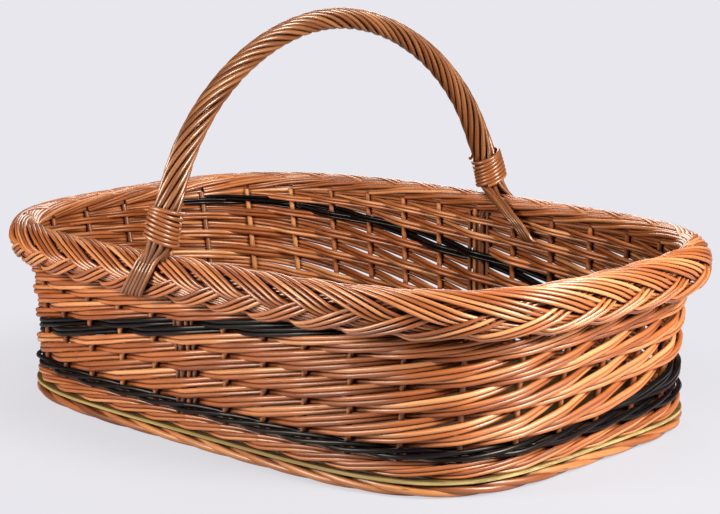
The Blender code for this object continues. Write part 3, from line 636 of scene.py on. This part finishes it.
# Wales
def wale_rods(size, strand):
    """The rods of one strand: in front of two stakes, rising, and behind the third, falling."""
    count, rod, middle, half_step, over = size
    reach = STAKE_FOOT_RADIUS + rod / 2
    # Each bend's place after the strand's first stake, its way out and its way up, as shares
    bends = ((0.0, 1 - over, 0.9), (0.5, 0.1, 1.0), (1.0, -1, 0.0),
             (1.5, 0.1 + over, -1.0), (2.0, 1 + over, -0.9), (2.5, 1 + over, 0.0))
    places, outs, heights = [], [], []
    for pattern in range(STAKE_COUNT // 3):
        for step, out, up in bends:
            places.append(pattern * 3 + strand + step)
            outs.append(WALE_OUT + out * reach)
            heights.append(middle + up * half_step)
    places.append(places[0] + STAKE_COUNT)
    outs.append(outs[0])
    heights.append(heights[0])
    places, outs, heights = map(np.array, (places, outs, heights))
    up = wall_axes(places)[1]
    centre = wall_point(places, heights, outs)
    return [(centre + up * rod * (number - (count - 1) / 2), rod / 2) for number in range(count)]


# Siding
def level_height(stroke):
    """How high the siding has climbed after so many strokes, which get flatter towards the rim."""
    steps = np.arange(SIDING_STROKES + 2)
    rises = LEVEL_RISE * (1 - LEVEL_TAPER_SHARE * (steps / LEVEL_TAPER_STROKES) ** 2)
    climbed = np.concatenate([[0], np.cumsum(rises)])
    return SIDING_FOOT + np.interp(stroke, np.arange(len(climbed)), climbed)


def beside_bow(place):
    """How near a place is to the thick bow end beside a handle stake, from 0 to 1."""
    half_way = STAKE_COUNT // 2
    gap = np.abs((place + BOW_BESIDE_STAKE / STAKE_PITCH + half_way / 2) % half_way - half_way / 2)
    return np.exp(-(gap / BOW_PUSH_WIDTH) ** 2)


def stake_side(stroke):
    """Where a pair passes its stake: -1 is inside and 1 is outside."""
    return 1.0 if stroke % 3 else -1.0


def pair_rods(start):
    """Two rods from one gap, up one level at each stake: behind one, in front of two."""
    strokes = np.arange(PAIR_FIRST, PAIR_LAST + 0.25, 0.5)
    sides, spread = [], []
    for stroke in strokes:
        last, following = math.floor(stroke), math.ceil(stroke)
        spread.append((SPREADS[last % 3] + SPREADS[following % 3]) / 2 * PAIR_SPREAD)
        before, after = stake_side(last), stake_side(following)
        sides.append((before + after) / 2 * (MIDWAY_OUT if before == after == 1 and stroke % 1 else 1.0))
    sides = np.array(sides)
    sides[0] = -1.0
    places = start + strokes
    share = np.clip(strokes / SIDING_STROKES, 0, 1)
    radii = np.interp(share, PAIR_TAPER, (PAIR_BUTT_RADIUS, PAIR_MIDDLE_RADIUS, PAIR_TIP_RADIUS))
    reach = STAKE_TOP_RADIUS + CLEARANCE + radii + beside_bow(places) * BOW_PUSH
    heights = level_height(np.maximum(strokes, LOWEST_STROKE)) + np.array(spread) * radii / PAIR_BUTT_RADIUS
    centre = wall_point(places, heights, sides * reach)
    up = wall_axes(places)[1]
    rods = []
    for side in (-1, 1):
        rods.append((centre + up * (radii * side * PAIR_CLOSENESS)[:, None], radii))
    return rods


# Rim plait
def plait_rod(group, phases, lateral, radius):
    """One rod of a group, over two groups and under two. Phases are in degrees of one whole turn."""
    angle = np.radians(phases)
    upper = np.arcsin(UPPER_SHARPNESS * np.sin(angle)) / math.asin(UPPER_SHARPNESS) * PLAIT_RISE
    lower = np.arcsin(LOWER_SHARPNESS * np.sin(angle)) / math.asin(LOWER_SHARPNESS) * PLAIT_FALL
    swing = np.where(np.sin(angle) > 0, upper, lower)
    walked = (phases / 360 * PLAIT_GROUPS - PLAIT_LAG * np.cos(angle)) * STAKE_PITCH
    run = np.gradient(walked)
    rise = np.gradient(swing)
    length = np.hypot(run, rise)
    walked = walked - lateral * rise / length
    swing = swing + lateral * run / length
    crossing = np.radians(phases + PLAIT_CROSS_SHIFT * lateral * np.cos(angle))
    lift = -PLAIT_LIFT * np.clip(np.sin(2 * crossing) / PLAIT_CROSS_SOFTNESS, -1, 1)
    place = group + PLAIT_SHIFT + walked / STAKE_PITCH
    points = roll_point(place, PLAIT_MIDDLE + np.degrees(swing / ROLL_RADIUS), lift)
    return points, np.full(len(points), radius)


def plait_group(group):
    """Three rods through a whole turn, the stake's own rod that ends in front, and two down the inside."""
    rods = []
    phases = np.arange(*GROUP_PHASES)
    down = smooth_step(phases, *BUNCHING) * (1 - smooth_step(phases, *SPREADING))
    for number in range(3):
        lateral = (number - 1) * PLAIT_ROD_STEP - 0.5 * PLAIT_ROD_STEP * down
        rods.append(plait_rod(group, phases, lateral, PLAIT_ROD_RADIUS))
    phases = np.arange(*END_ROD_PHASES)
    rods.append(plait_rod(group, phases, np.full(len(phases), 1.5 * PLAIT_ROD_STEP), PLAIT_ROD_RADIUS))
    share = np.linspace(0, 1, INNER_POINTS)
    places = group + PLAIT_SHIFT + INNER_START + INNER_TRAVEL * share
    first_sink = INNER_FIRST_SINK * (1 - smooth_step(share, 0, INNER_RISEN))
    lift = INNER_LIFT - first_sink - INNER_LAST_SINK * smooth_step(share, INNER_SINKING, 1)
    for number in range(2):
        lateral = (number - 0.5) * INNER_ROD_STEP
        degrees = INNER_FIRST_ANGLE + (INNER_LAST_ANGLE - INNER_FIRST_ANGLE) * share
        degrees = degrees + np.degrees(lateral / ROLL_RADIUS)
        rods.append((roll_point(places, degrees, lift), np.full(len(share), INNER_ROD_RADIUS)))
    return rods


def rim_filling():
    """Rod ends packed inside the plait, and the last rods woven under it."""
    rods = []
    for number in range(FILL_RODS):
        angle = 360.0 / FILL_RODS * number

        def point_at(places):
            return roll_point(places, angle + FILL_TWIST * places, -ROLL_RADIUS + FILL_PLACE)
        rods.append(ring_rod(point_at, FILL_RADIUS))
    for height, out in TOP_WEAVE:
        rods.append(ring_rod(lambda places: wall_point(places, height, out), TOP_WEAVE_RADIUS))
    return rods


# Handle
class Arch:
    """The handle's centre line, from its near foot at s = 0 to its far foot."""

    def __init__(self):
        angle = np.linspace(0, math.pi, RING_SAMPLES + 1)
        across = np.cos(angle)
        self.y = -ARCH_HALF_SPAN * np.sign(across) * np.abs(across) ** (2 / ARCH_POWER)
        self.z = ARCH_FOOT_HEIGHT + ARCH_RISE * np.abs(np.sin(angle)) ** (2 / ARCH_POWER)
        self.walked = np.concatenate([[0], np.cumsum(np.hypot(np.diff(self.y), np.diff(self.z)))])
        self.length = float(self.walked[-1])

    def point(self, s):
        s = np.asarray(s, float)
        far_foot = smooth_step(s, self.length - FOOT_LEAN_LENGTH, self.length)
        near_foot = smooth_step(s, 0, FOOT_LEAN_LENGTH)
        lean = FOOT_LEAN * (far_foot - 1 + near_foot) + TOP_LEAN * np.sin(math.pi * s / self.length)
        return np.stack([lean, np.interp(s, self.walked, self.y), np.interp(s, self.walked, self.z)], axis=-1)

    def around(self, s, angle, radius):
        """Round the centre line: angle 0 is outwards and a quarter turn is towards +X."""
        step = self.length / 200
        onward = self.point(np.minimum(s + step, self.length)) - self.point(np.maximum(s - step, 0))
        onward[..., 0] = 0
        onward = unit(onward)
        outward = np.stack([0 * onward[..., 0], -onward[..., 2], onward[..., 1]], axis=-1)
        side = np.array([1.0, 0.0, 0.0])
        radius = radius[..., None]
        angle = angle[..., None]
        return self.point(s) + outward * radius * np.cos(angle) + side * radius * np.sin(angle)


ARCH = Arch()


def toward_foot(s):
    """0 at the handle's top and 1 at either foot."""
    return np.abs(2 * s / ARCH.length - 1) ** ROPE_TAPER_POWER


def rope_radius(s):
    return ROPE_RADIUS_TOP + (ROPE_RADIUS_FOOT - ROPE_RADIUS_TOP) * toward_foot(s)


def handle_rod_radius(s):
    return HANDLE_ROD_TOP + (HANDLE_ROD_FOOT - HANDLE_ROD_TOP) * toward_foot(s)


def half_turned(points):
    """The same shape on the far side."""
    return points * np.array([-1.0, -1.0, 1.0])


SLOTS = [2 * math.pi / ROPE_RODS * (slot + 0.5) for slot in range(ROPE_RODS)]


def is_outside(angle):
    return math.cos(angle) > -0.01


def lane_rank(angle):
    """The rod's place in its row, counted from the middle, larger towards -X."""
    row = [slot for slot in SLOTS if is_outside(slot) == is_outside(angle)]
    row.sort(key=lambda slot: -math.sin(slot))
    nearest = min(row, key=lambda slot: abs(math.remainder(slot - angle, 2 * math.pi)))
    return row.index(nearest) - (len(row) - 1) / 2


def tucked_end(angle):
    """A rope rod below the near binding: over the rim and into the wall, towards -X."""
    rank = lane_rank(angle)
    outside = is_outside(angle)
    over = PLAIT_LIFT + PLAIT_ROD_RADIUS + TUCKED_ROD
    middles = (OUTSIDE_FIRST, OUTSIDE_LAST) if outside else (INSIDE_FIRST, INSIDE_LAST)
    first, last = (middle + rank * step for middle, step in middles)
    shares, degrees = map(np.array, zip(*(OUTSIDE_TUCK if outside else INSIDE_TUCK)))
    lifts = np.full(len(shares), over)
    if outside:
        lifts[-1] = TIP_LIFT
        lifts[-2] = over * SINKING_SHARE
    points = roll_point(-(first + (last - first) * shares) / STAKE_PITCH, degrees, lifts)
    if not outside:
        places = -(first + (last - first) * np.array(KNEE_SHARES)) / STAKE_PITCH
        knees = RIM_RING.at(places, 0) + level_out(places) * np.array(KNEE_OUTS)[:, None]
        knees[:, 2] = KNEE_HEIGHTS
        points = np.concatenate([points, knees])
    return points


def rope_rod(slot):
    """One rod of the rope, from its tuck beside the near foot to its tuck beside the far foot."""
    span = ARCH.length - 2 * HANDLE_START
    twist = ROPE_SLOTS_PASSED * 2 * math.pi / ROPE_RODS
    near = tucked_end(slot)[::-1]
    far = half_turned(tucked_end(-(slot + twist)))
    share = np.linspace(0, 1, ROPE_POINTS)
    s = HANDLE_START + span * share
    wound = share - TOP_TWIST * np.sin(2 * math.pi * share) / (2 * math.pi)
    wave = 2 * math.pi * (ROPE_WAVES * share + ROPE_WAVE_STEP * slot)
    uneven = ROPE_UNEVEN * np.sin(wave) * np.sin(math.pi * share)
    middle = ARCH.around(s, slot + twist * wound + uneven, rope_radius(s))
    tucked = np.full(len(near), TUCKED_ROD), np.full(len(far), TUCKED_ROD)
    radii = np.concatenate([tucked[0], handle_rod_radius(s), tucked[1]])
    return np.concatenate([near, middle, far]), radii


def bow_rod():
    """The thick rod inside the rope, its ends pushed down into the wall beside the middle stakes."""
    place = -BOW_BESIDE_STAKE / STAKE_PITCH
    heights = np.array(BOW_HEIGHTS)
    wall = wall_point(np.full(len(heights), place), heights, 0.0)
    near = np.concatenate([wall, BOW_NECK])
    s = np.linspace(HANDLE_START, ARCH.length - HANDLE_START, BOW_POINTS)
    middle = ARCH.point(s)
    points = np.concatenate([near, middle, half_turned(near)[::-1]])
    side = np.concatenate([np.linspace(*BOW_FOOT_RADII, len(wall)), BOW_NECK_RADII])
    radii = np.concatenate([side, rope_radius(s) - handle_rod_radius(s) * BOW_IN_ROPE, side[::-1]])
    return points, radii


def bow_liners():
    """Thin rods on both sides of the bow and the middle stake, up into the rim."""
    rods = []
    heights = np.array(LINER_HEIGHTS)
    for beside in BOW_LINERS:
        near = wall_point(np.full(len(heights), -beside / STAKE_PITCH), heights, 0.0)
        radii = np.linspace(*LINER_RADII, len(heights))
        rods += [(near, radii), (half_turned(near), radii)]
    return rods


def binding_rod():
    """The near binding, wound up the rope with a slight slant and a loose end at the top."""
    turns = np.linspace(0, BINDING_TURNS, int(BINDING_TURNS * BINDING_POINTS))
    angle = 2 * math.pi * turns + BINDING_START
    tilt = BINDING_TILT * smooth_step(turns, BINDING_TURNS + 1.5, BINDING_TURNS - 3)
    slant = tilt * np.cos(angle - math.radians(BINDING_LOW_ANGLE))
    s = HANDLE_START + BINDING_ROD + turns * BINDING_PITCH - slant
    radius = rope_radius(s) + handle_rod_radius(s) + BINDING_ROD * BINDING_CLOSENESS
    radius = radius + LOOSE_END_OUT * smooth_step(turns, BINDING_TURNS - LOOSE_END_TURN, BINDING_TURNS)
    return ARCH.around(s, angle, radius), np.full(len(s), BINDING_ROD)


# Base board
def build_board():
    """The plywood oval with slightly eased edges."""
    count, inset, low, high = BOARD_POINTS, BOARD_EASE, FOOT_HEIGHT, BOARD_TOP
    base = BOARD_RING.at(np.arange(count) * STAKE_COUNT / count, 0)
    along = unit(np.roll(base, -1, axis=0) - np.roll(base, 1, axis=0))
    out = along[:, [1, 0, 2]] * np.array([1.0, -1.0, 1.0])
    rings = []
    for drop, height in ((inset, low), (0.0, low + inset), (0.0, high - inset), (inset, high)):
        ring = base - out * drop
        ring[:, 2] = height
        rings.append(ring)
    verts = np.concatenate(rings)
    faces = []
    for level in range(3):
        for step in range(count):
            after = (step + 1) % count
            below, above = level * count, (level + 1) * count
            faces.append((below + step, below + after, above + after, above + step))
    faces.append(tuple(range(count))[::-1])
    faces.append(tuple(range(3 * count, 4 * count)))
    mesh = bpy.data.meshes.new("plywood_base")
    mesh.from_pydata(verts.tolist(), [], faces)
    mesh.materials.append(BOARD_FINISH)
    piece = bpy.data.objects.new("plywood_base", mesh)
    bpy.context.scene.collection.objects.link(piece)
    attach(piece, "root")
    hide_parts("base_board")
    return piece


# All pieces
def make_wall():
    """The stakes with the foot border, the wales and the siding."""
    stakes = [stake_rod(stake) for stake in range(STAKE_COUNT)] + foot_filling()
    rods = [grow("stakes_with_foot_border", stakes, SHADED_STAKE_FINISH, ["stakes_and_foot_border"],
                 3, wander=0.0002, spacing=0.0028, sides=12)]
    for strand in range(3):
        rods.append(grow(f"upsett_rods_{strand + 1}", wale_rods(UPSETT, strand), WEAVE_FINISH,
                         [f"upsett_wale_{strand + 1}"], 11 + strand,
                         wander=0.00012, spacing=0.0025))
        rods.append(grow(f"dark_wale_rods_{strand + 1}", wale_rods(DARK_WALE, strand), DARK_FINISH,
                         [f"dark_wale_{strand + 1}"], 21 + strand,
                         wander=0.00012, spacing=0.0025))
    for start in range(STAKE_COUNT):
        colour, finish = ("dark", DARK_FINISH) if start in DARK_PAIRS else ("siding", WEAVE_FINISH)
        rods.append(grow(f"{colour}_rods_{start:02d}", pair_rods(start), finish,
                         [f"{colour}_pair_{start:02d}"], 101 + start, wander=0.00016))
    return rods


def make_rim():
    """The three strands of the plait, each with a third of the filling."""
    rods = []
    for strand in range(3):
        plait = [rod for group in range(strand, STAKE_COUNT, 3) for rod in plait_group(group)]
        plait += rim_filling()[strand::3]
        rods.append(grow(f"rim_plait_{strand + 1}", plait, RIM_FINISH, [f"border_plait_{strand + 1}"],
                         201 + strand, wander=0.0002, spacing=0.0024))
    return rods


def make_handle():
    """The rope's rods, the bow and the two bindings."""
    rods = []
    for number, slot in enumerate(SLOTS, 1):
        rods.append(grow(f"rope_rod_{number:02d}", [rope_rod(slot)], HANDLE_FINISH,
                         [f"handle_rod_{number:02d}"], 300 + number,
                         wander=0.0001, spacing=0.0025, sides=12))
    rods.append(grow("bow_rod", [bow_rod(), *bow_liners()], HANDLE_FINISH, ["handle_bow"], 401,
                     wander=0.0001, sides=14))
    near_points, radii = binding_rod()
    for side, points, seed in (("near", near_points, 418), ("far", half_turned(near_points), 423)):
        rods.append(grow(f"binding_{side}", [(points, radii)], BINDING_FINISH, [f"handle_binding_{side}"],
                         seed, wander=0.0001, spacing=0.0015))
    return rods


# Painted shade between the rods, measured from the built pieces and the board.
mark_painted_crevice_shade(make_wall() + make_rim() + make_handle(), [build_board()])


# Camera, light and floor
CAMERA_AZIMUTH, CAMERA_ELEVATION, CAMERA_ROLL = 46.2328, 11.3338, -1.8038
CAMERA_DISTANCE, CAMERA_AIM_HEIGHT = 1.4215, 0.1048
CAMERA_LENS, CAMERA_SHIFT_X, CAMERA_SHIFT_Y = 99.43, 0.0278, 0.0030
LAMP_AIM_HEIGHT = 0.1
BACKDROP = (0.807, 0.799, 0.847)
FILL_COLOUR, FILL_STRENGTH = (1.0, 0.93, 0.86), 0.055
FLOOR_COLOUR, FLOOR_REACH = (0.46, 0.45, 0.47), 12.0
FADE_START, FADE_END, FADE_LEAST, FADE_WIDTH_SHARE = 0.22, 0.46, 0.73, 1.35


def aimed(azimuth, elevation):
    """The right, up and backward directions of a camera or lamp that looks at the basket from there."""
    azimuth, elevation = math.radians(azimuth), math.radians(elevation)
    level = math.cos(elevation)
    back = np.array([math.sin(azimuth) * level, -math.cos(azimuth) * level, math.sin(elevation)])
    right = unit(np.cross(-back, np.array([0.0, 0.0, 1.0])))
    return right, np.cross(right, -back), back


def placed(right, up, back, distance, aim_height):
    matrix = np.eye(4)
    matrix[:3, :3] = np.stack([right, up, back], axis=1)
    matrix[:3, 3] = back * distance + np.array([0, 0, aim_height])
    return Matrix(matrix.tolist())


def place_camera():
    right, up, back = aimed(CAMERA_AZIMUTH, CAMERA_ELEVATION)
    roll = math.radians(CAMERA_ROLL)
    x_axis = math.cos(roll) * right + math.sin(roll) * up
    y_axis = -math.sin(roll) * right + math.cos(roll) * up
    camera = bpy.data.objects.new("camera", bpy.data.cameras.new("camera"))
    camera.matrix_world = placed(x_axis, y_axis, back, CAMERA_DISTANCE, CAMERA_AIM_HEIGHT)
    camera.data.sensor_width = 36
    camera.data.lens = CAMERA_LENS
    camera.data.shift_x = CAMERA_SHIFT_X
    camera.data.shift_y = CAMERA_SHIFT_Y
    camera.data.clip_start = 0.05
    camera.data.clip_end = 50
    bpy.context.scene.collection.objects.link(camera)
    bpy.context.scene.camera = camera


def area_light(name, azimuth, elevation, distance, size, power, colour):
    """A soft lamp that faces the basket from that side."""
    lamp = bpy.data.objects.new(name, bpy.data.lights.new(name, "AREA"))
    lamp.matrix_world = placed(*aimed(azimuth, elevation), distance, LAMP_AIM_HEIGHT)
    lamp.data.shape = "DISK"
    lamp.data.size = size
    lamp.data.energy = power
    lamp.data.color = colour
    lamp.visible_camera = False
    bpy.context.scene.collection.objects.link(lamp)


def pale_world():
    """A weak warm light from all round, and the pale backdrop that only the camera sees."""
    world = bpy.data.worlds.new("studio")
    bpy.context.scene.world = world
    world.use_nodes = True
    nodes, links = world.node_tree.nodes, world.node_tree.links
    fill = nodes["Background"]
    fill.inputs["Color"].default_value = (*FILL_COLOUR, 1)
    fill.inputs["Strength"].default_value = FILL_STRENGTH
    seen = nodes.new("ShaderNodeBackground")
    seen.inputs["Color"].default_value = (*BACKDROP, 1)
    seen.inputs["Strength"].default_value = 1.0
    rays = nodes.new("ShaderNodeLightPath")
    mix = nodes.new("ShaderNodeMixShader")
    links.new(rays.outputs["Is Camera Ray"], mix.inputs["Fac"])
    links.new(fill.outputs[0], mix.inputs[1])
    links.new(seen.outputs[0], mix.inputs[2])
    links.new(mix.outputs[0], nodes["World Output"].inputs["Surface"])


def pale_floor():
    """A plain floor that takes the shadow near the basket and fades into the backdrop further out."""
    mesh = bpy.data.meshes.new("floor")
    corners = [(x * FLOOR_REACH, y * FLOOR_REACH, 0) for x, y in ((-1, -1), (1, -1), (1, 1), (-1, 1))]
    mesh.from_pydata(corners, [], [(0, 1, 2, 3)])
    floor = bpy.data.objects.new("floor", mesh)
    material, nodes, links, shader = new_material("pale_floor")
    shader.inputs["Base Color"].default_value = (*FLOOR_COLOUR, 1)
    shader.inputs["Roughness"].default_value = 0.9
    shader.inputs["Specular IOR Level"].default_value = 0.1
    glow = nodes.new("ShaderNodeEmission")
    glow.inputs["Color"].default_value = (*BACKDROP, 1)
    coords = nodes.new("ShaderNodeTexCoord")
    squash = nodes.new("ShaderNodeVectorMath")
    squash.operation = "MULTIPLY"
    squash.inputs[1].default_value = (1.0, FADE_WIDTH_SHARE, 0.0)
    links.new(coords.outputs["Object"], squash.inputs[0])
    length = nodes.new("ShaderNodeVectorMath")
    length.operation = "LENGTH"
    links.new(squash.outputs[0], length.inputs[0])
    fade = nodes.new("ShaderNodeMapRange")
    fade.interpolation_type = "SMOOTHSTEP"
    fade.inputs["From Min"].default_value = FADE_START
    fade.inputs["From Max"].default_value = FADE_END
    fade.inputs["To Min"].default_value = FADE_LEAST
    links.new(length.outputs["Value"], fade.inputs["Value"])
    rays = nodes.new("ShaderNodeLightPath")
    share = math_maker(material.node_tree)("MULTIPLY", fade.outputs["Result"], rays.outputs["Is Camera Ray"])
    mix = nodes.new("ShaderNodeMixShader")
    links.new(share, mix.inputs["Fac"])
    links.new(shader.outputs[0], mix.inputs[1])
    links.new(glow.outputs[0], mix.inputs[2])
    links.new(mix.outputs[0], nodes["Material Output"].inputs["Surface"])
    mesh.materials.append(material)
    bpy.context.scene.collection.objects.link(floor)


place_camera()
area_light("right_light", 91, 26, 0.85, 0.30, 13.5, (1.0, 0.97, 0.94))
area_light("left_light", -17, 17, 0.65, 0.30, 4.6, (1.0, 0.97, 0.94))
area_light("back_light", 222, 26, 0.95, 0.60, 4.6, (1.0, 0.96, 0.92))
pale_world()
pale_floor()
bpy.context.scene.view_settings.view_transform = "Standard"
